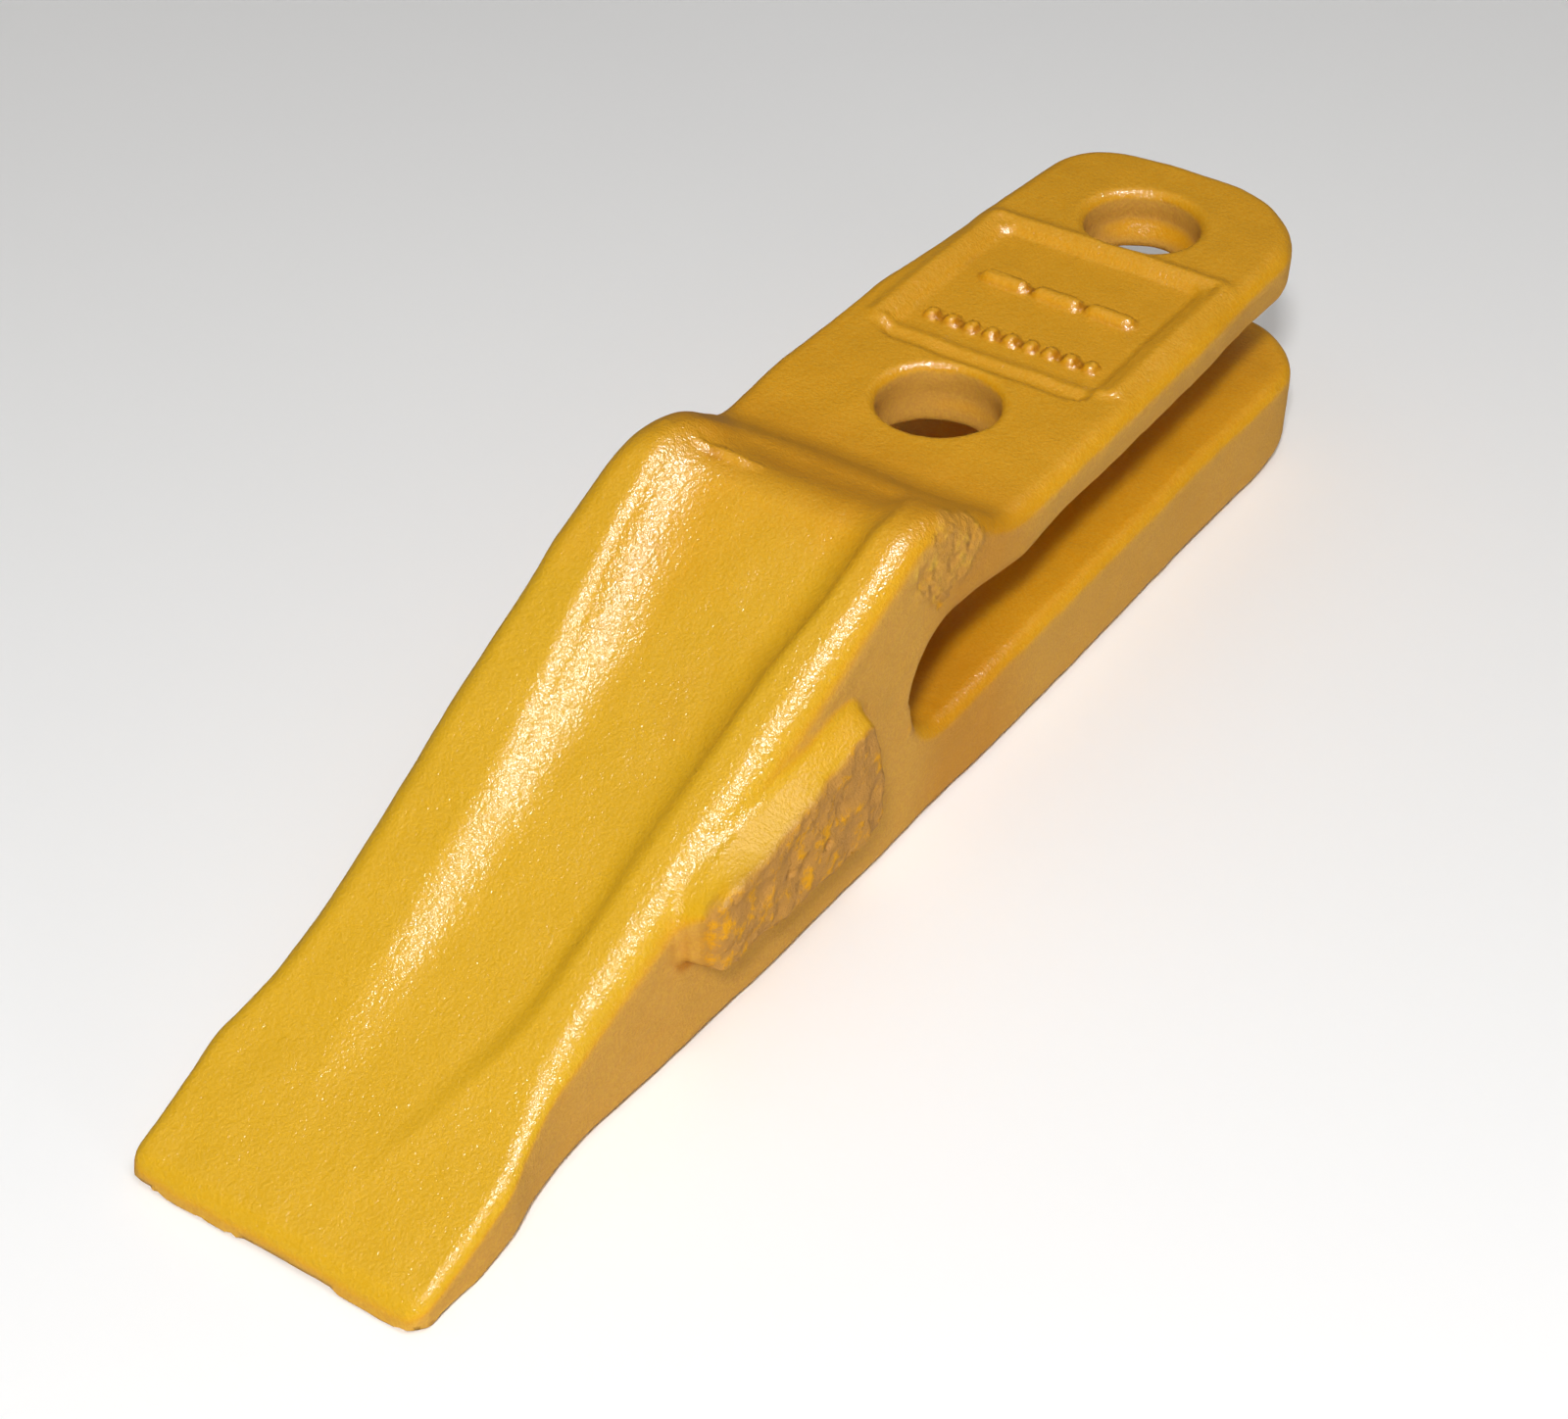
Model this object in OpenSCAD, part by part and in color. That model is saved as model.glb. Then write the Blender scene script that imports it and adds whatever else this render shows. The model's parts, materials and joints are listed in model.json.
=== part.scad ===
// Bolt-on bucket tooth for a small excavator: one steel casting with a forked
// shank, two bolt holes through both legs, a hump and a scooped, flared blade.
// +X points to the cutting tip, +Z is the scooped side, +Y the side with the lug.
// The origin is on the front bolt hole's axis, half-way between the two legs.

/* [Shank] */
// Width of the shank across the legs
shank_w = 38.4; // [34:0.2:44]
// Width of the shank at its tail end
tail_w = 36; // [32:0.5:38]
// Thickness of the upper leg
upper_leg_t = 7.4; // [6:0.2:9]
// Thickness of the lower leg
lower_leg_t = 12; // [9:0.5:14]
// Distance from the rear bolt hole's axis to the tail end
tail_reach = 16.2; // [14:0.2:22]
// Radius of the tail's corners, seen from above
tail_corner_r = 10; // [4:1:14]

/* [Fork gap] */
// Height of the gap that takes the bucket's lip plate
lip_gap = 11; // [8:0.5:12]
// Distance from the front bolt hole's axis to the centre of the gap's round root
root_x = 27; // [24:0.5:28]
// Radius of the gap's round root
root_r = 6.5; // [6.2:0.1:7]

/* [Bolt holes] */
// Diameter of both bolt holes
bolt_hole_d = 14; // [12:0.5:17]
// Distance between the two bolt hole axes
bolt_pitch = 48.5; // [44:0.5:52]

/* [Hump and blade] */
// Distance from the front bolt hole's axis to the cutting tip
tip_x = 117; // [112:0.5:124]
// Thickness of the cutting tip
tip_t = 2.8; // [2:0.1:4]
// Downward slope of the blade's top, in degrees
ramp_angle = 25; // [24:0.5:26]
// Slope of the hump's rear face, in degrees
rear_angle = 33; // [28:1:40]
// Distance from the front bolt hole's axis to the foot of the hump
hump_foot_x = 16; // [14:0.5:18]
// Radius over the hump's crest
crest_r = 13; // [8:1:14]
// Width of the blade at its waist, behind the flared tip
waist_w = 32.4; // [30:0.2:35]
// Width of the blade across the flared tip
flare_w = 36.8; // [36:0.2:40]
// Radius of the ribs' outer shoulders
shoulder_r = 3.5; // [3:0.5:6]

/* [Scoop] */
// Depth of the scoop below the hump's crest
scoop_depth = 3; // [2:0.25:3.5]
// Radius of the scoop's concave walls
scoop_r = 6; // [5:0.5:7]
// Distance from the front bolt hole's axis to where the scoop runs out
scoop_end_x = 98; // [90:1:99]

/* [Side lug] */
// How far the lug stands out of the blade's side
lug_out = 3.6; // [2.5:0.1:4.5]
// Length of the lug's outer face
lug_l = 29; // [24:1:30]
// Height of the lug's outer face
lug_h = 13.5; // [12:0.5:15]

/* [Marking panel] */
// Depth of the recessed panel between the bolt holes
panel_depth = 0.8; // [0.4:0.1:1]
// Height of the border bead above the upper leg
bead_h = 0.5; // [0.3:0.1:0.6]
// Number of plain pips in the panel's long row
pip_count = 9; // [5:1:10]

/* [Hidden] */
$fn = 48;
overshoot = 5;          // how far every cutter runs past the surface it cuts
arc_steps = 8;          // straight steps in one rounded corner of an outline

// Levels and stations along the tooth
top_z = lip_gap / 2 + upper_leg_t;
bottom_z = -lip_gap / 2 - lower_leg_t;
tail_x = -bolt_pitch - tail_reach;
shank_end_x = 12;
waist_x = 92;
flare_x = 103.5;
dish_x = 99;            // where the blade's top eases into the flatter tip
ramp_through = [60, 9.4];  // a point [x, z] on the blade's top, between the hump and the dish
tip_narrowing = 0.4;    // how much less than the flare's half-width the tip has
tip_lean = 0.6;         // how far the tip's upper edge lies behind its lower edge

// The hump's two slopes meet above its rounded crest
function ramp_z(x) = ramp_through.y - tan(ramp_angle) * (x - ramp_through.x);
hump_rise = tan(rear_angle) + tan(ramp_angle);
hump_x = (ramp_z(0) - top_z + tan(rear_angle) * hump_foot_x) / hump_rise;
crest_drop = crest_r * (1 / cos((rear_angle + ramp_angle) / 2) - 1);
crest_z = ramp_z(hump_x) - crest_drop;

// An outline's corner [x, y, radius] becomes an arc tangent to both its sides
function flat(p) = [p.x, p.y];
function unit(v) = v / norm(v);
function corner_arc(before, corner, after) =
    let (
        u = unit(flat(before) - flat(corner)),
        v = unit(flat(after) - flat(corner)),
        half = acos(u * v) / 2,
        centre = flat(corner) + unit(u + v) * corner.z / sin(half),
        from = flat(corner) + u * corner.z / tan(half) - centre,
        to = flat(corner) + v * corner.z / tan(half) - centre,
        start = atan2(from.y, from.x),
        sweep = (atan2(to.y, to.x) - start + 540) % 360 - 180
    )
    [for (i = [0:arc_steps]) let (a = start + sweep * i / arc_steps)
        centre + corner.z * [cos(a), sin(a)]];
function rounded(corners) =
    let (n = len(corners))
    [for (i = [0:n - 1])
        each corner_arc(corners[(i + n - 1) % n], corners[i], corners[(i + 1) % n])];

// The tooth seen from its side: [x, z, radius]
side_corners = [
    [tail_x, bottom_z, 3],
    [tip_x, bottom_z, 0.5],
    [tip_x - tip_lean, bottom_z + tip_t, 1],
    [dish_x, ramp_z(dish_x), 50],
    [hump_x, ramp_z(hump_x), crest_r],
    [hump_foot_x, top_z, 8],
    [tail_x, top_z, 2],
];

// One half of the tooth seen from above: [x, y, radius], tail to tip
half_plan_corners = [
    [tail_x, tail_w / 2, tail_corner_r],
    [-bolt_pitch / 2, shank_w / 2, 60],
    [shank_end_x, shank_w / 2, 60],
    [waist_x, waist_w / 2, 14],
    [flare_x, flare_w / 2, 6],
    [tip_x, flare_w / 2 - tip_narrowing, 2.5],
];
last_half = len(half_plan_corners) - 1;
plan_corners = concat(
    half_plan_corners,
    [for (i = [last_half:-1:0]) let (p = half_plan_corners[i]) [p.x, -p.y, p.z]]
);

// Extrude a side view [x, z] across the tooth, w wide and centred on Y = 0
module across(w) {
    rotate([90, 0, 0]) linear_extrude(w, center = true) children();
}

module envelope() {
    intersection() {
        across(2 * shank_w) polygon(rounded(side_corners));
        translate([0, 0, bottom_z - overshoot])
            linear_extrude(crest_z - bottom_z + 2 * overshoot) polygon(rounded(plan_corners));
    }
}

// The gap is parallel over the lip and opens a little into its round root
module fork_gap() {
    half_gap = lip_gap / 2;
    root_l = 5;
    root_blend_x = root_x - root_l;
    across(2 * shank_w) polygon([
        [tail_x - overshoot, -half_gap],
        [shank_end_x, -half_gap],
        [root_blend_x, -root_r],
        [root_x, -root_r],
        [root_x, root_r],
        [root_blend_x, root_r],
        [shank_end_x, half_gap],
        [tail_x - overshoot, half_gap],
    ]);
    translate([root_x, 0, 0]) rotate([90, 0, 0]) cylinder(h = 2 * shank_w, r = root_r, center = true);
}

module bolt_holes() {
    for (x = [0, -bolt_pitch])
        translate([x, 0, bottom_z - overshoot])
            cylinder(h = top_z - bottom_z + 2 * overshoot, d = bolt_hole_d);
}

// A flat-floored trough with round walls, which rises out of the blade at its far end
module scoop() {
    crest_half = 7;
    end_half = 4.5;
    start_x = hump_x - 12;
    floor_slope = (crest_z - scoop_depth - ramp_z(scoop_end_x)) / (scoop_end_x - hump_x);
    start_z = crest_z - scoop_depth + floor_slope * (hump_x - start_x);
    hull()
        for (side = [-1, 1]) {
            translate([start_x, side * crest_half, start_z + scoop_r]) sphere(scoop_r, $fn = 32);
            translate([scoop_end_x, side * end_half, ramp_z(scoop_end_x) + scoop_r])
                sphere(scoop_r, $fn = 32);
        }
}

// The corner that is taken off the outside of a rib, along the blade's slope. The cut
// drifts out of the corner as it goes, and has left it where the blade is narrowest.
module shoulder_cut() {
    start_x = hump_x - 8;
    run = waist_x - start_x;
    taper = atan((shank_w - waist_w) / 2 / (waist_x - shank_end_x));
    drift = atan(shoulder_r * (1 - sqrt(1 / 2)) / run);
    start_y = shank_w / 2 - (start_x - shank_end_x) * tan(taper);
    translate([start_x, start_y, ramp_z(start_x)])
        rotate([0, ramp_angle - drift, drift - taper])
            rotate([90, 0, 90])
                linear_extrude(run / cos(ramp_angle))
                    translate([-shoulder_r, -shoulder_r])
                        difference() {
                            square(shoulder_r + overshoot);
                            circle(shoulder_r);
                        }
}

// The stub of the casting's feeder on the +Y side: a block with drafted sides
module lug() {
    rear_x = 44;
    front_x = rear_x + lug_l;
    low_z = -8.4;
    draft = 3;
    fall = 2.2;     // the block's top and bottom close in on each other by this at its front
    face_t = 0.5;
    root_y = waist_w / 2 - 1;
    outer_y = (shank_w + waist_w) / 4 + lug_out;
    outer_face = [
        [rear_x, low_z],
        [front_x, low_z + fall],
        [front_x, low_z + lug_h - fall],
        [rear_x + draft, low_z + lug_h + 1],
        [rear_x, low_z + lug_h - draft],
    ];
    root = [
        [rear_x - draft, low_z - 1],
        [front_x + draft, low_z + fall - 1],
        [front_x + draft, ramp_z(front_x + draft) - 1],
        [rear_x + 2 * draft, ramp_z(rear_x + 2 * draft) - shoulder_r / 2],
        [rear_x - draft, low_z + lug_h + draft],
    ];
    hull() {
        translate([0, outer_y, 0]) rotate([90, 0, 0]) linear_extrude(face_t) polygon(outer_face);
        translate([0, root_y, 0]) rotate([90, 0, 0]) linear_extrude(face_t) polygon(root);
    }
}

panel_rear_x = -38.2;
panel_front_x = -8.6;
panel_half = 13.4;

module panel_recess() {
    corner_r = 2;
    corners = [
        [panel_rear_x, -panel_half, corner_r],
        [panel_front_x, -panel_half, corner_r],
        [panel_front_x, panel_half, corner_r],
        [panel_rear_x, panel_half, corner_r],
    ];
    translate([0, 0, top_z - panel_depth]) linear_extrude(overshoot) polygon(rounded(corners));
}

// A half-round bead behind the panel and along its two sides
module panel_bead() {
    bead_r = 1.1;
    bead_out = 2;
    bead_y = panel_half + bead_out;
    bead_rear_x = panel_rear_x - bead_out;
    bead_l = panel_front_x - bead_out - bead_rear_x;
    translate([bead_rear_x, 0, top_z + bead_h - bead_r]) {
        rotate([90, 0, 0]) cylinder(h = 2 * bead_y, r = bead_r, center = true);
        for (side = [-1, 1])
            translate([0, side * bead_y, 0]) {
                sphere(bead_r);
                rotate([0, 90, 0]) cylinder(h = bead_l, r = bead_r);
                translate([bead_l, 0, 0]) sphere(bead_r);
            }
    }
}

// Plain raised marks: three bars and a row of round pips, standing on the panel's floor
module panel_marks() {
    sunk = 0.2;
    floor_z = top_z - panel_depth - sunk;
    mark_h = panel_depth + 2 * sunk;
    bar_x = panel_rear_x + 11;
    bar_step = 7;
    bar_half = 2;
    bar_r = 1.2;
    for (side = [-1:1])
        translate([bar_x, side * bar_step, floor_z]) {
            translate([-bar_r, -bar_half, 0]) cube([2 * bar_r, 2 * bar_half, mark_h]);
            for (end = [-bar_half, bar_half]) translate([0, end, 0]) cylinder(h = mark_h, r = bar_r);
        }
    pip_x = panel_rear_x + 22;
    pip_end = panel_half - 3;
    pip_r = 0.8;
    pip_step = 2 * pip_end / (pip_count - 1);
    for (i = [0:pip_count - 1])
        translate([pip_x, i * pip_step - pip_end, floor_z]) cylinder(h = mark_h, r = pip_r);
}

module tooth_casting() {
    color("goldenrod")
        union() {
            difference() {
                union() {
                    difference() {
                        envelope();
                        shoulder_cut();
                        mirror([0, 1, 0]) shoulder_cut();
                    }
                    lug();
                    panel_bead();
                }
                fork_gap();
                bolt_holes();
                scoop();
                panel_recess();
            }
            panel_marks();
        }
}

tooth_casting();
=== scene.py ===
"""The looks of a bolt-on excavator bucket tooth: one rough steel casting in glossy enamel.

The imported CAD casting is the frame. Here the same casting is described again as a field of
distances, with the rounded edges, draft, uneven skin and broken feeder stub of the real one, and
the mesh on the field's zero surface stands for the CAD node. The field works in millimetres, in
the part's frame: +X to the tip, +Z the scooped side, +Y the side with the lug.
"""

import json
import math
from itertools import product

import bpy
import numpy as np
from mathutils import Matrix, Vector


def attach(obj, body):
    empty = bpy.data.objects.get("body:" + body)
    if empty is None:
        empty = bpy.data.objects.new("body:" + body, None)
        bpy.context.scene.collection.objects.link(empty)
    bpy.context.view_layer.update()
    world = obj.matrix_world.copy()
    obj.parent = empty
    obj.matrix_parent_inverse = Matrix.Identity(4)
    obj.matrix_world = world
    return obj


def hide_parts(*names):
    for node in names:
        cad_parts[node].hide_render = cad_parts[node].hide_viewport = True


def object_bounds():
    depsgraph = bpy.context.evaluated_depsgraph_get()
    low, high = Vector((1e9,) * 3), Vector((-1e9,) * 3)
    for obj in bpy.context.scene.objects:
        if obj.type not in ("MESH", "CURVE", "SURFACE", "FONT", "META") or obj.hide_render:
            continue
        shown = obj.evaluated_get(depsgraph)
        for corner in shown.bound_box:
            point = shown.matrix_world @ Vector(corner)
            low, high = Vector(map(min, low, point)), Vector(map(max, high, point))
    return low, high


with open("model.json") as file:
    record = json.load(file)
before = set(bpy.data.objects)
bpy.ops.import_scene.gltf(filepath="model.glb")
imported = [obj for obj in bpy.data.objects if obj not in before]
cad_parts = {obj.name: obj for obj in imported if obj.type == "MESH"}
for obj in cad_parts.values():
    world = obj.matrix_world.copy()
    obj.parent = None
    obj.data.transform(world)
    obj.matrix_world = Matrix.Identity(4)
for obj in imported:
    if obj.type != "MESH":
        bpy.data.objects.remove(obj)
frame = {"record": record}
CAD_LOW, CAD_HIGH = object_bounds()

MM = 0.001
MOUNTS = {m["name"]: m for m in frame["record"]["mounts"]}
SEED = 11

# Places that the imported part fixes
REAR_HOLE_X = MOUNTS["rear_bolt_hole"]["pos_m"][0] / MM
HOLE_R = MOUNTS["front_bolt_hole"]["dims"]["r_mm"]
BOTTOM_Z = MOUNTS["underside"]["pos_m"][2] / MM
TOP_Z = BOTTOM_Z + MOUNTS["front_bolt_hole"]["dims"]["length_mm"]
GAP_HALF = -MOUNTS["lip_seat"]["pos_m"][2] / MM
TAIL_X = CAD_LOW.x / MM
TIP_X = CAD_HIGH.x / MM
LUG_Y = CAD_HIGH.y / MM

# The blade's straight slopes, seen from the side
REAR_SLOPE = math.tan(math.radians(33))
RAMP_SLOPE = math.tan(math.radians(25))
HUMP_FOOT_X = 16
RAMP_X, RAMP_Z = 60, 9.4
DISH_X = 99
TIP_T = 2.8
# The gap's round root
ROOT_X, ROOT_R = 27, 6.5

# The marking panel: its ends and half width, its recess, its bead and its row of pips
PANEL_REAR, PANEL_FRONT, PANEL_HALF = -38.2, -8.6, 13.4
PANEL_DEPTH = 0.85
BEAD_H, BEAD_R = 0.6, 1.05
BAR_R, BAR_HALF, BAR_PITCH = 1.7, 2, 7
PIPS, PIP_R, PIP_H, PIP_PITCH = 9, 1.25, 0.85, 2.6

# The lug's ends at its outer face, and the y inside the tooth where its block stops
LUG_REAR, LUG_FRONT = 43.6, 73.2
LUG_START_Y = 14
# Pits in its torn face: (x, z, radius)
LUG_PITS = ((55, -2.5, 0.7), (61.5, -1.8, 0.6))

# How the field is sampled: the grid, the depth that gets the fine relief, and the reach of the marks
GRID_STEP, QUICK_STEP, GRID_MARGIN = 0.6, 0.9, 1.2
SKIN_DEPTH = 3
MARK_REACH = 1.6

# Half the tooth's width along its length, tail to tip: [x, to the -Y side, to the +Y side]
HALF_WIDTHS = [
    [-66, 16.8, 17.4],
    [-47, 17.6, 18.4],
    [-36, 18.1, 18.7],
    [-24, 18.8, 19.0],
    [-8, 19.4, 19.0],
    [12, 19.3, 18.8],
    [27, 18.7, 18.3],
    [42, 18.4, 18.1],
    [58, 17.9, 17.7],
    [75, 17.2, 17.0],
    [89, 16.4, 16.3],
    [94, 16.4, 16.4],
    [99, 17.1, 17.1],
    [103, 17.8, 18.0],
    [107, 17.6, 18.2],
    [113, 17.1, 18.1],
    [118, 17.0, 17.9],
]
# Radius of the long edges at the top: [x, on the -Y side, on the +Y side]
EDGE_RADII = [
    [-66, 2.4, 2.4],
    [14, 2.4, 2.4],
    [24, 3.5, 2.6],
    [31, 5.0, 3.0],
    [38, 3.4, 3.0],
    [46, 2.8, 3.4],
    [84, 3.0, 3.4],
    [101, 2.0, 2.0],
    [117, 1.5, 1.5],
]
# The scoop's depth under the ramp: [x, depth]
SCOOP_DEPTHS = [
    [18, -2.0],
    [25, 1.2],
    [31, 2.7],
    [38, 3.2],
    [47, 3.4],
    [60, 2.8],
    [70, 2.1],
    [85, 1.5],
    [94, 0.9],
    [101, 0.4],
    [107, -0.3],
    [112, -0.8],
]
# Half the width of the scoop's flat floor: [x, to the -Y side, to the +Y side]
SCOOP_HALVES = [
    [31, 6.1, 8.1],
    [40, 5.1, 7.5],
    [51, 3.3, 6.4],
    [60, 2.3, 6.1],
    [71, 1.5, 6.8],
    [82, 1.2, 7.3],
    [90, 1.2, 7.2],
    [98, 1.2, 5.2],
    [105, 1.2, 4.0],
]
# Height of the lug's roof, tail end to tip end, at its outer face and where it meets the rib
LUG_EDGE = [[44, 5.5], [47, 6.4], [53, 5.4], [60, 4.4], [66, 3.4], [71, 3.0], [75, 1.6], [80, -2]]
LUG_ROOT = [
    [44, 8.0], [47, 8.9], [51, 9.1], [54, 8.2], [60, 6.3], [66, 4.9], [70, 3.8], [73, 2.2], [78, -2],
]


# ---------------------------------------------------------------- shaping helpers


def along(stations, x, y=None):
    """A smooth curve through [x, value] stations, level beyond both ends; y picks the side's value."""
    table = np.array(stations, dtype=float)
    if y is not None:
        return np.where(y < 0, along(table[:, (0, 1)], x), along(table[:, (0, 2)], x))
    at, value = table.T
    slope = np.gradient(value, at)
    slope[0] = slope[-1] = 0
    x = np.clip(x, at[0], at[-1])
    i = np.clip(np.searchsorted(at, x) - 1, 0, len(at) - 2)
    gap = at[i + 1] - at[i]
    t = (x - at[i]) / gap
    start = value[i] * (1 + 2 * t) + slope[i] * gap * t
    end = value[i + 1] * (3 - 2 * t) - slope[i + 1] * gap * (1 - t)
    return start * (1 - t) ** 2 + end * t**2


def rise(low, high, x):
    """0 below low, 1 above high, and smooth between them."""
    t = np.clip((x - low) / (high - low), 0, 1)
    return t * t * (3 - 2 * t)


def both(a, b, r):
    """The solid inside a and b, with the edge between them rounded to r."""
    return np.minimum(-r, np.maximum(a, b)) + np.hypot(np.maximum(a + r, 0), np.maximum(b + r, 0))


def either(a, b, r):
    """The solid inside a or b, with a fillet of radius r where they meet."""
    return -both(-a, -b, r)


def blend_r(radius, turn):
    """The r of both() and either() that gives this radius where a face turns by so many degrees."""
    return radius * (1 - math.cos(math.radians(turn) / 2)) / (1 - math.sqrt(0.5))


def capsule(p, start, end, r):
    """Distance to a rod with round ends; r may differ from point to point."""
    start, end = np.array(start, dtype=float), np.array(end, dtype=float)
    way = end - start
    t = np.clip((p - start) @ way / (way @ way), 0, 1)
    return np.linalg.norm(p - start - t[:, None] * way, axis=1) - r


def waves(p, length, seed, count=9):
    """Smooth, repeatable unevenness, mostly between -1 and 1, with features about length mm long."""
    rng = np.random.default_rng(SEED + seed)
    turn = rng.normal(size=(count, 3))
    lengths = np.linalg.norm(turn, axis=1, keepdims=True)
    turn *= (2 * math.pi / length) * rng.uniform(0.6, 1.4, (count, 1)) / lengths
    return np.sin(p @ turn.T + rng.uniform(0, 2 * math.pi, count)).sum(1) * math.sqrt(1 / count)


# ---------------------------------------------------------------- the casting


def panel_relief(x, y):
    """Height of the marking panel's recess, border bead and plain marks over the leg's top."""
    into = both(both(PANEL_REAR - x, x - PANEL_FRONT, 2), np.abs(y) - PANEL_HALF, 2)
    height = -PANEL_DEPTH * rise(0.8, -0.8, into)
    # The bead runs outside the recess at the tail and the sides, and inside it at the front
    border = both(both(PANEL_REAR - 1.9 - x, x - (PANEL_FRONT - 2.5), 1), np.abs(y) - (PANEL_HALF + 2.1), 1.2)
    open_front = rise(PANEL_FRONT - 0.5, PANEL_FRONT - 4, x)
    height += BEAD_H * np.exp(-((border / BEAD_R) ** 2)) * open_front
    for side in (-1, 0, 1):
        bar = np.hypot(x - (PANEL_REAR + 11), np.maximum(np.abs(y - BAR_PITCH * side) - BAR_HALF, 0))
        height += dome(bar, BAR_R)
    for i in range(PIPS):
        pip = np.hypot(np.maximum(np.abs(x - (PANEL_REAR + 22)) - 0.3, 0), y - (i - PIPS // 2) * PIP_PITCH)
        height += PIP_H * dome(pip, PIP_R)
    return height


def dome(away, r):
    """Height of a low round mark at this distance from its middle."""
    return rise(r, 0.25 * r, away)


def top_face(x, y, z):
    """Distance over the tooth's top: leg, hump, scooped ramp and tip."""
    leg = z - TOP_Z
    rear = (z - TOP_Z - REAR_SLOPE * (x - HUMP_FOOT_X)) / math.hypot(1, REAR_SLOPE)
    ramp_c = 1 / math.hypot(1, RAMP_SLOPE)
    ramp = (z - RAMP_Z + RAMP_SLOPE * (x - RAMP_X)) * ramp_c
    dish_z = RAMP_Z - RAMP_SLOPE * (DISH_X - RAMP_X)
    tip_slope = (dish_z - (BOTTOM_Z + TIP_T)) / (TIP_X - 0.6 - DISH_X)
    tip = (z - dish_z + tip_slope * (x - DISH_X)) / math.hypot(1, tip_slope)
    behind = either(leg, rear, blend_r(8, 33))
    before = either(ramp, tip, blend_r(60, 6))
    face = both(behind, before, blend_r(12, 58))
    wall_r = np.where(y < 0, 10, 6 - 2.5 * rise(58, 84, x))
    over = np.minimum(face + along(SCOOP_DEPTHS, x) - wall_r, 0)
    trough = np.hypot(np.maximum(np.abs(y) - along(SCOOP_HALVES, x, y), 0), over) - wall_r
    return both(face, -trough, blend_r(3, 45)) - panel_relief(x, y)


def hole(x, y, z, centre_x, rim_r, ledge):
    """Distance inside one bolt hole, which steps in by ledge on its tail side, below its mouth."""
    from_axis = np.hypot(x - centre_x, y)
    step = ledge * rise(TOP_Z - 3.2, TOP_Z - 6.4, z) * rise(5, -5, x - centre_x - 0.4 * y)
    mouth = rim_r * rise(TOP_Z - 2 * rim_r, TOP_Z + rim_r, z)
    return HOLE_R - step + 0.35 * mouth - from_axis


def fork_gap(x, z):
    """Distance inside the gap between the legs: parallel, then opening into a round root."""
    half = GAP_HALF + (ROOT_R - GAP_HALF) * rise(11, 24, x)
    slot = both(np.abs(z) - half, x - ROOT_X, 0.01)
    root = np.hypot(x - ROOT_X, z) - ROOT_R
    return -np.minimum(slot, root)


def lug(p):
    """The stub of the casting's feeder: a drafted block with a torn outer face."""
    x, y, z = p.T
    out_y, root_y = LUG_Y - 0.3, LUG_Y - 3.7
    inward = out_y - y
    edge_z, root_z = along(LUG_EDGE, x), along(LUG_ROOT, x)
    climb = (root_z - edge_z) / (out_y - root_y)
    roof = (z - edge_z - climb * np.clip(inward, 0, out_y - root_y)) / np.hypot(1, climb)
    ragged = 0.4 * np.abs(waves(p, 7, 1)) + 0.2 * np.abs(waves(p, 3.4, 2)) - 0.2
    outer = y - out_y + ragged
    floor = (0.075 * (x - 44) - 8.3 - z + 0.2 * inward) * 0.98 + 0.25 * waves(p, 6, 3)
    rear = (LUG_REAR + 0.25 * np.maximum(z + 2.5, 0) - 0.4 * inward - x) * 0.9 + 0.15 * waves(p, 4, 4)
    front = (x - LUG_FRONT - 0.5 * inward) * 0.85
    block = both(both(outer, roof, 0.5), floor, 0.3)
    block = both(both(block, rear, 0.8), front, 1.0)
    for pit_x, pit_z, pit_r in LUG_PITS:
        block = both(block, pit_r - np.linalg.norm(p - [pit_x, out_y, pit_z], axis=1), 0.2)
    return both(block, LUG_START_Y - y, 0.1)


def flash(p):
    """Thin ragged beads of metal that squeezed out where the mould's halves met."""
    ragged = 0.4 + 0.22 * waves(p, 3.2, 5)
    crest = capsule(p, [31.0, -15, 20.0], [29.8, -4.5, 18.6], ragged)
    foot = capsule(p, [20, -18.2, 14.2], [17, -18.6, 12.2], ragged)
    bump = capsule(p, [-9, -19.1, 9], [-11, -19.1, 8], 0.5)
    return np.minimum(np.minimum(crest, foot), bump)


def dressed(p):
    """1 where flash was knocked off the right end of the hump's rear edge, and 0 away from it."""
    x, y, z = p.T
    reach = np.sqrt(((x - 28.5) / 6.2) ** 2 + ((y - 18.2) / 3.2) ** 2 + ((z - 15.6) / 4.6) ** 2)
    return rise(1.12, 0.94, reach + 0.09 * waves(p, 4, 9))


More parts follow.
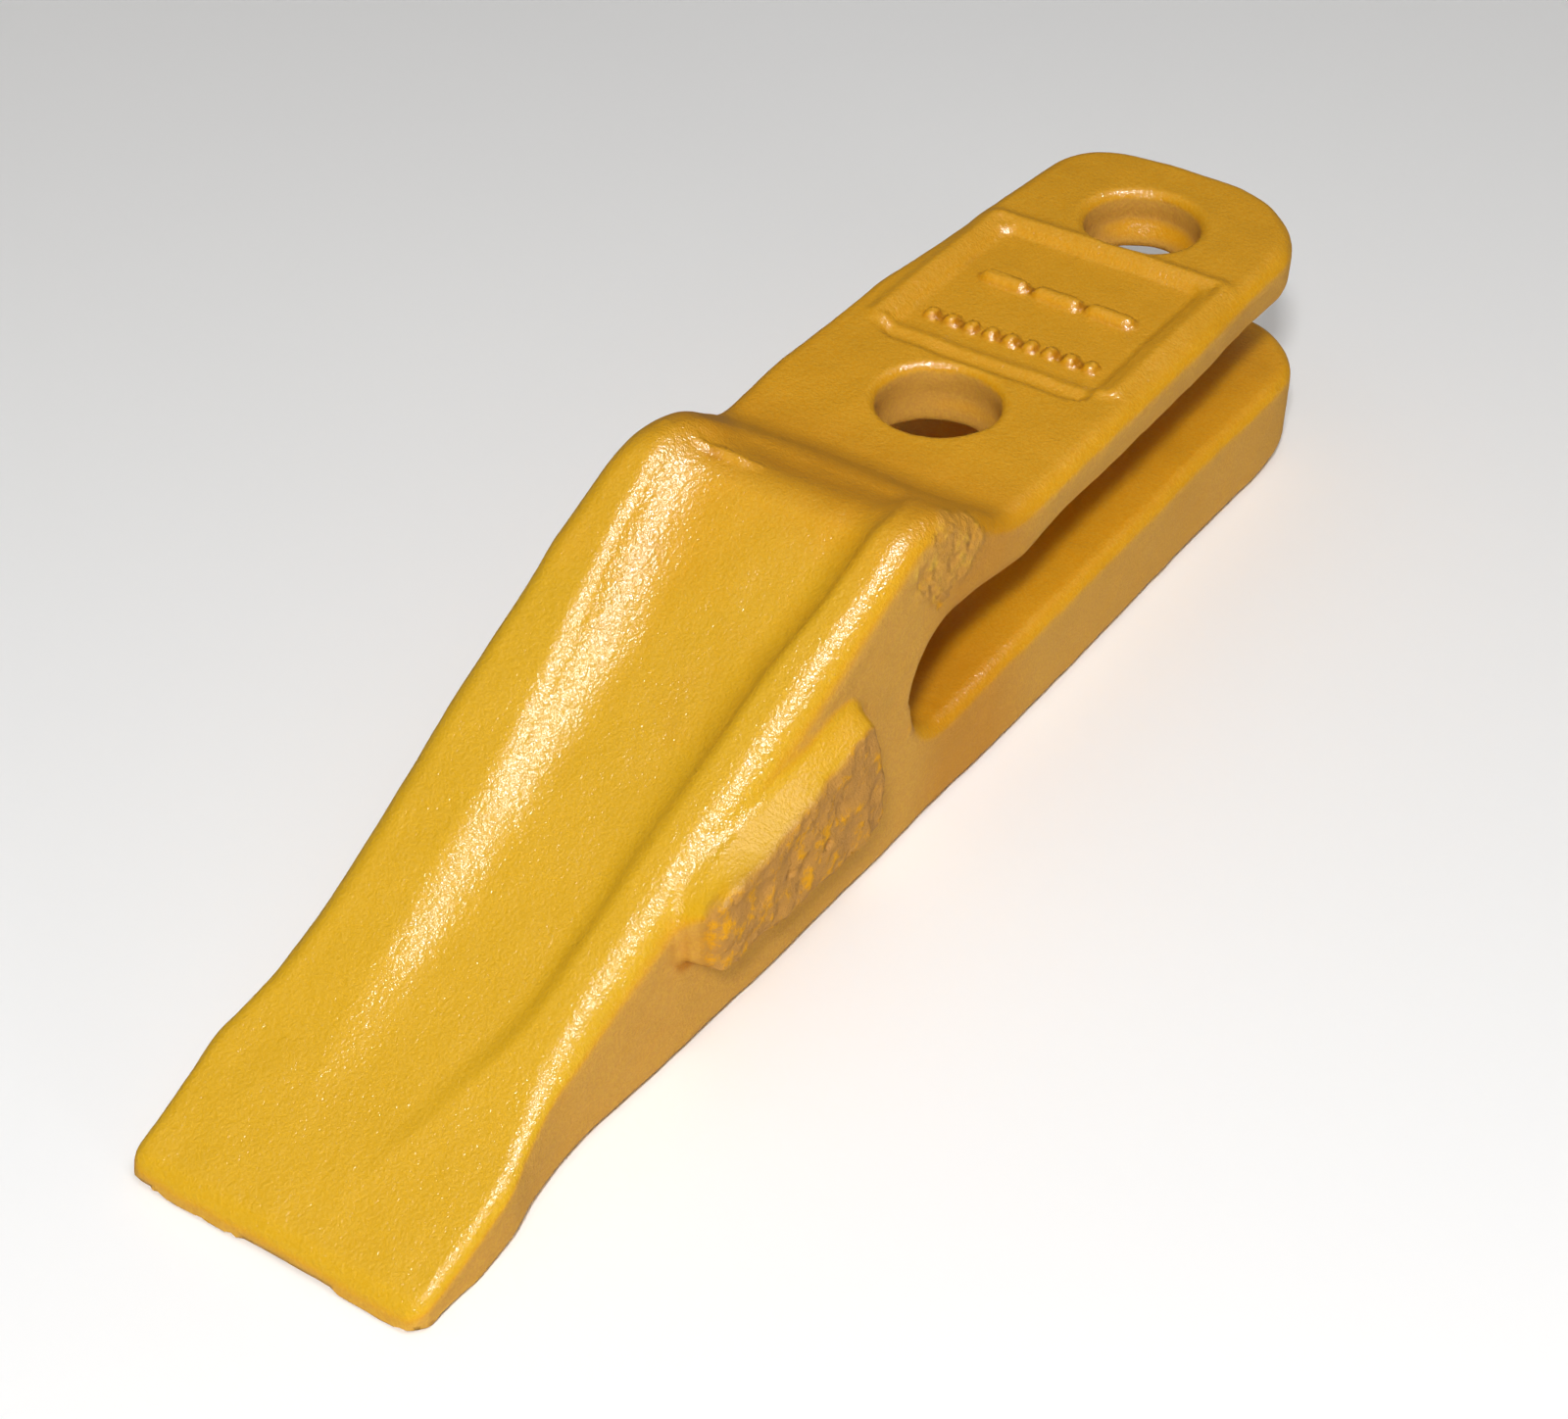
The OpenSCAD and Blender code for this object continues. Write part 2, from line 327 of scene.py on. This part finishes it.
def casting(p):
    """Distance from the tooth's surface, under zero inside the metal."""
    x, y, z = p.T
    top = top_face(x, y, z)
    half = along(HALF_WIDTHS, x, y)
    lower, right = rise(0, -6, z), y > 0
    # On the +Y side the lower leg widens to the tail, and the upper leg draws in toward the gap
    half += 1.2 * rise(-25, -56, x) * lower * right
    half -= 0.7 * rise(TOP_Z - 1, GAP_HALF, z) * rise(14, 2, x) * rise(-58, -42, x) * (z > 0) * right
    side = (np.abs(y) - half) * 0.98
    tail = TAIL_X + 0.1 + 0.006 * y**2 - 0.6 * lower - x
    tail_r = np.where(right, 12.2 - 2.7 * lower, 7)
    tip = (x - TIP_X - 0.4 + 0.22 * (z - BOTTOM_Z)) * 0.98
    plan = both(both(side, tail, tail_r), tip, 2)
    solid = both(top, plan, along(EDGE_RADII, x, y))
    solid = both(solid, BOTTOM_Z - z, 1.4 - 1.2 * rise(100, 112, x) + 2.6 * rise(-48, -62, x))
    solid = either(solid, lug(p), 0.6)
    solid = both(solid, fork_gap(x, z), np.where(z > 0, 2.4, 1.8))
    solid = both(solid, hole(x, y, z, 0, 1.0, 0.45), 0.9)
    solid = both(solid, hole(x, y, z, REAR_HOLE_X, 1.2, 1.1), 1.1)
    # The fine relief is worked out only near the surface
    near = np.abs(solid) < SKIN_DEPTH
    q = p[near]
    skin = either(solid[near], flash(q), 0.8)
    rough = 0.16 * np.abs(waves(q, 3.2, 10)) + 0.08 * np.abs(waves(q, 1.6, 11)) - 0.14
    skin += dressed(q) * rough
    skin += 0.07 * waves(q, 16, 6) + 0.035 * waves(q, 6, 7) + 0.012 * waves(q, 2.4, 8)
    solid[near] = skin
    return solid


def torn(p):
    """1 on the broken and dressed faces, where the paint is thinned and chalky."""
    x, y, z = p.T
    stub = rise(LUG_Y - 2.6, LUG_Y - 1.4, y) * rise(42, 44, x) * rise(0.5, -0.4, z - along(LUG_EDGE, x))
    strip = capsule(p, [33.9, 18.6, -3], [33.4, 18.7, 4.5], 0) + 0.3 * waves(p, 2.2, 12)
    return np.maximum(np.maximum(stub, 0.8 * rise(1.1, 0.5, strip)), 0.6 * dressed(p))


# ---------------------------------------------------------------- mesh on the zero surface


def slopes(field, points, reach=0.08):
    """The field's gradient at each point."""
    grad = np.empty_like(points)
    for axis in range(3):
        shift = np.eye(3)[axis] * reach
        grad[:, axis] = (field(points + shift) - field(points - shift)) / (2 * reach)
    return grad


def surface(field, low, high, step):
    """Points and quads of a surface net on the field's zero surface."""
    axes = [np.arange(a, b + step, step) for a, b in zip(low, high)]
    shape = [len(a) for a in axes]
    grid = np.stack(np.meshgrid(*axes, indexing="ij"), -1).reshape(-1, 3)
    value = field(grid).reshape(shape)

    # One point in each cell that the surface crosses, at the mean of the crossed cell edges
    cells = [n - 1 for n in shape]
    total, count = np.zeros([*cells, 3]), np.zeros(cells)
    at = {c: value[tuple(slice(o, n + o) for o, n in zip(c, cells))] for c in product((0, 1), repeat=3)}
    for start in at:
        for axis in range(3):
            if start[axis]:
                continue
            end = tuple(1 if i == axis else o for i, o in enumerate(start))
            crossed = (at[start] < 0) != (at[end] < 0)
            part = at[start][crossed] / (at[start][crossed] - at[end][crossed])
            total[crossed] += np.array(start) + part[:, None] * np.eye(3)[axis]
            count += crossed
    used = count > 0
    number = np.full(cells, -1)
    number[used] = np.arange(used.sum())
    corner = np.array([a[0] for a in axes])
    points = corner + step * (np.argwhere(used) + total[used] / count[used][:, None])

    # One quad round each grid edge that the surface crosses, facing out of the metal
    quads = []
    inside = value < 0
    for axis in range(3):
        u, v = (axis + 1) % 3, (axis + 2) % 3
        lower = np.take(inside, range(cells[axis]), axis)
        upper = np.take(inside, range(1, shape[axis]), axis)
        edge = np.argwhere(lower != upper)
        ring = []
        for du, dv in ((0, 0), (1, 0), (1, 1), (0, 1)):
            cell = edge.copy()
            cell[:, u] -= du
            cell[:, v] -= dv
            ring.append(number[tuple(cell.T)])
        ring = np.stack(ring, 1)
        backward = ~lower[tuple(edge.T)]
        ring[backward] = ring[backward][:, ::-1]
        quads.append(ring)

    # Newton steps onto the zero surface
    for _ in range(3):
        grad = slopes(field, points)
        move = field(points)[:, None] * grad / (grad**2).sum(1, keepdims=True)
        points -= np.clip(move, -step / 2, step / 2)
    return points, np.concatenate(quads)


def casting_object():
    """The painted casting as one object, in metres, with its hollows, edges and torn faces marked."""
    step = GRID_STEP
    low, high = np.array(CAD_LOW) / MM - GRID_MARGIN, np.array(CAD_HIGH) / MM + GRID_MARGIN
    points, quads = surface(casting, low, high, step)
    normals = slopes(casting, points)
    normals /= np.linalg.norm(normals, axis=1, keepdims=True)
    mesh = bpy.data.meshes.new("painted_tooth")
    mesh.from_pydata(points * MM, [], quads)
    mesh.shade_smooth()
    mesh.normals_split_custom_set_from_vertices(normals)
    hollow = 1 - casting(points + normals * MARK_REACH) / MARK_REACH
    edge = 1 + casting(points - normals * MARK_REACH) / MARK_REACH
    for name, amount in (("hollow", hollow), ("edge", edge), ("torn", torn(points))):
        mesh.attributes.new(name, "FLOAT", "POINT").data.foreach_set("value", np.clip(amount, 0, 1))
    obj = bpy.data.objects.new("painted_tooth", mesh)
    bpy.context.scene.collection.objects.link(obj)
    return obj


# ---------------------------------------------------------------- material


class Nodes:
    """Short calls that add and join nodes in one material."""

    def __init__(self, name):
        self.material = bpy.data.materials.new(name)
        self.material.use_nodes = True
        self.tree = self.material.node_tree
        self.shader = self.tree.nodes["Principled BSDF"]

    def add(self, kind, values=(), **settings):
        node = self.tree.nodes.new(kind)
        for key, value in settings.items():
            setattr(node, key, value)
        for key, value in dict(values).items():
            self.give(node.inputs[key], value)
        return node

    def give(self, socket, value):
        if isinstance(value, bpy.types.NodeSocket):
            self.tree.links.new(value, socket)
        else:
            socket.default_value = value

    def noise(self, place, scale, detail=3.0, roughness=0.55):
        values = {"Vector": place, "Scale": scale, "Detail": detail, "Roughness": roughness}
        return self.add("ShaderNodeTexNoise", values).outputs["Fac"]

    def ranged(self, value, low, high, out_low, out_high):
        values = {"Value": value, "From Min": low, "From Max": high, "To Min": out_low, "To Max": out_high}
        return self.add("ShaderNodeMapRange", values, clamp=True).outputs["Result"]

    def mix(self, amount, a, b):
        node = self.add("ShaderNodeMix", data_type="RGBA")
        self.give(node.inputs["Factor"], amount)
        self.give(node.inputs[6], a)
        self.give(node.inputs[7], b)
        return node.outputs[2]

    def join(self, operation, a, b):
        return self.add("ShaderNodeMath", {0: a, 1: b}, operation=operation).outputs[0]

    def bump(self, height, distance, under=None):
        node = self.add("ShaderNodeBump", {"Height": height, "Distance": distance, "Strength": 1.0})
        if under is not None:
            self.give(node.inputs["Normal"], under)
        return node.outputs["Normal"]


def enamel():
    """Yellow enamel over a sand-cast skin: orange peel, grain and chalky torn faces, with painted shade on
    steep faces, in hollows and on the hump's rear slope, and painted light yellowing the blade's top.
    """
    n = Nodes("yellow_enamel")
    where = n.add("ShaderNodeTexCoord")
    place = where.outputs["Object"]
    along_x, across_y, up_z = n.add("ShaderNodeSeparateXYZ", {"Vector": place}).outputs
    facing_up = n.add("ShaderNodeSeparateXYZ", {"Vector": where.outputs["Normal"]}).outputs["Z"]
    hollow = n.add("ShaderNodeAttribute", attribute_name="hollow").outputs["Fac"]
    edge = n.add("ShaderNodeAttribute", attribute_name="edge").outputs["Fac"]
    broken = n.add("ShaderNodeAttribute", attribute_name="torn").outputs["Fac"]
    clouds = n.noise(place, 45.0)
    peel = n.noise(place, 1400.0, 2.0)
    grain = n.noise(place, 3000.0, 2.0)
    chips = n.noise(place, 420.0, 4.0, 0.7)

    # Linear colours
    amber = (0.695, 0.312, 0.0025, 1)
    yellow = (0.680, 0.374, 0.008, 1)
    # Dull tan: painted shade on steep faces, and also the thin paint of the lug's torn faces
    thin_paint_and_side_shade = (0.590, 0.292, 0.046, 1)
    painted_shade_brown = (0.46, 0.155, 0.0005, 1)
    # Brown of painted shade, for hollows and the hump's rear slope
    chalk = (0.74, 0.45, 0.045, 1)
    bare = (0.50, 0.240, 0.045, 1)
    # Steep faces are painted the dull tan as shade; upward faces stay amber
    upper = n.ranged(facing_up, 0.15, 0.42, 0, 1)
    # Painted light: the blade's upward faces are painted yellower than the legs, where they take more light,
    # from a cloudy border on
    drift = n.ranged(clouds, 0.3, 0.7, -0.012, 0.012)
    blade = n.ranged(n.join("ADD", along_x, drift), 0.020, 0.060, 0, 1)
    blade = n.join("MULTIPLY", blade, n.ranged(facing_up, 0.30, 0.55, 0, 1))
    # Painted shade darkens the hump's rear slope, from the leg's end almost to the crest
    past_leg, before_crest = n.ranged(along_x, 0.008, 0.018, 0, 1), n.ranged(along_x, 0.034, 0.027, 0, 0.4)
    foot = n.join("MULTIPLY", past_leg, before_crest)
    colour = n.mix(blade, n.mix(upper, thin_paint_and_side_shade, amber), yellow)
    colour = n.mix(n.ranged(grain, 0.40, 0.65, 0.0, 0.30), colour, chalk)
    colour = n.mix(n.ranged(edge, 0.25, 0.95, 0, 0.25), colour, chalk)
    colour = n.mix(foot, colour, painted_shade_brown)
    # Painted shade in hollows and creases, from the hollow mark
    colour = n.mix(n.ranged(hollow, 0.03, 0.35, 0, 0.75), colour, painted_shade_brown)
    high = n.ranged(up_z, 0.009, 0.013, 0, 1)
    chipped = n.ranged(chips, 0.52, 0.64, 0, 1)
    torn_face = n.mix(chipped, n.mix(high, bare, thin_paint_and_side_shade), n.mix(high, amber, chalk))
    colour = n.mix(broken, colour, torn_face)
    n.give(n.shader.inputs["Base Color"], colour)
    gloss = n.join("ADD", n.ranged(hollow, 0.0, 0.25, 0.44, 0.34), n.ranged(facing_up, 0.2, 0.5, 0.2, 0))
    n.give(n.shader.inputs["Roughness"], n.join("MAXIMUM", gloss, n.join("MULTIPLY", broken, 0.7)))
    n.give(n.shader.inputs["Specular IOR Level"], 0.14)
    glaze = n.join("MULTIPLY", n.ranged(broken, 0, 0.6, 0.40, 0), upper)
    glaze = n.join("MULTIPLY", glaze, n.ranged(across_y, 0.0170, 0.0178, 1, 0))
    n.give(n.shader.inputs["Coat Weight"], glaze)
    n.give(n.shader.inputs["Coat Roughness"], 0.15)
    skin = n.bump(n.join("MULTIPLY", grain, n.ranged(along_x, 0.01, 0.05, 0.6, 1)), 0.00010)
    skin = n.bump(peel, 0.00007, skin)
    skin = n.bump(n.join("MULTIPLY", chips, broken), 0.0005, skin)
    n.give(n.shader.inputs["Normal"], skin)
    n.give(n.shader.inputs["Coat Normal"], n.bump(peel, 0.00013, skin))
    return n.material


def pale_floor():
    """Plain, nearly white studio floor."""
    n = Nodes("pale_floor")
    place = n.add("ShaderNodeTexCoord").outputs["Object"]
    tone = n.mix(n.noise(place, 3.0), (0.92, 0.92, 0.92, 1), (0.94, 0.94, 0.94, 1))
    n.give(n.shader.inputs["Base Color"], tone)
    n.give(n.shader.inputs["Roughness"], 0.6)
    return n.material


tooth = casting_object()
tooth.data.materials.append(enamel())
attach(tooth, "root")
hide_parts("tooth_casting")


# ---------------------------------------------------------------- floor, light and camera

scene = bpy.context.scene
centre = (CAD_LOW + CAD_HIGH) / 2

bpy.ops.mesh.primitive_plane_add(size=6, location=(centre.x, centre.y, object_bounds()[0].z))
floor = bpy.context.object
floor.name = "floor"
floor.data.materials.append(pale_floor())
floor.visible_glossy = False


def soft_light(name, toward, distance, size, power, diffuse=True):
    """A square studio light aimed at the tooth; without diffuse it only makes highlights."""
    data = bpy.data.lights.new(name, "AREA")
    data.size = size
    data.energy = power
    light = bpy.data.objects.new(name, data)
    light.visible_diffuse = diffuse
    toward = Vector(toward).normalized()
    light.location = centre + toward * distance
    light.rotation_euler = toward.to_track_quat("Z", "Y").to_euler()
    scene.collection.objects.link(light)


soft_light("key", (0.63, 0.31, 0.71), 0.60, 0.06, 2.5)
soft_light("overhead", (0.10, 0.30, 0.94), 0.90, 0.30, 1.1)
soft_light("sheen", (-0.08, 0.38, 0.92), 0.90, 0.20, 19, diffuse=False)
soft_light("fill", (0.30, 0.94, 0.13), 0.90, 0.20, 1.1)


def studio():
    """A world whose ceiling is bright and whose walls are dim."""
    world = bpy.data.worlds.new("studio")
    world.use_nodes = True
    sky = world.node_tree
    direction = sky.nodes.new("ShaderNodeSeparateXYZ")
    ceiling = sky.nodes.new("ShaderNodeMapRange")
    sky.links.new(sky.nodes.new("ShaderNodeTexCoord").outputs["Generated"], direction.inputs[0])
    sky.links.new(direction.outputs["Z"], ceiling.inputs["Value"])
    for key, value in {"From Min": 0.55, "From Max": 0.85, "To Min": 0.07, "To Max": 0.45}.items():
        ceiling.inputs[key].default_value = value
    sky.links.new(ceiling.outputs["Result"], sky.nodes["Background"].inputs["Strength"])
    sky.nodes["Background"].inputs["Color"].default_value = (1.0, 0.98, 0.95, 1)
    return world


scene.world = studio()
scene.view_settings.view_transform = "Standard"

# The camera's place, and its turn about the vertical, tilt and roll
CAMERA_AT = Vector((244.9, 135.9, 191.7)) * MM
YAW, PITCH, ROLL = (math.radians(a) for a in (32.37, 38.62, 1.24))
LENS, SENSOR_WIDTH = 68.4, 36
back = Vector((math.cos(YAW) * math.cos(PITCH), math.sin(YAW) * math.cos(PITCH), math.sin(PITCH)))
level = Vector((-math.sin(YAW), math.cos(YAW), 0))
upright = back.cross(level)
right = math.cos(ROLL) * level + math.sin(ROLL) * upright
up = math.cos(ROLL) * upright - math.sin(ROLL) * level

camera = bpy.data.objects.new("camera", bpy.data.cameras.new("camera"))
camera.data.lens = LENS
camera.data.sensor_width = SENSOR_WIDTH
camera.data.clip_start = 0.01
camera.matrix_world = Matrix.Translation(CAMERA_AT) @ Matrix((right, up, back)).transposed().to_4x4()
scene.collection.objects.link(camera)
scene.camera = camera
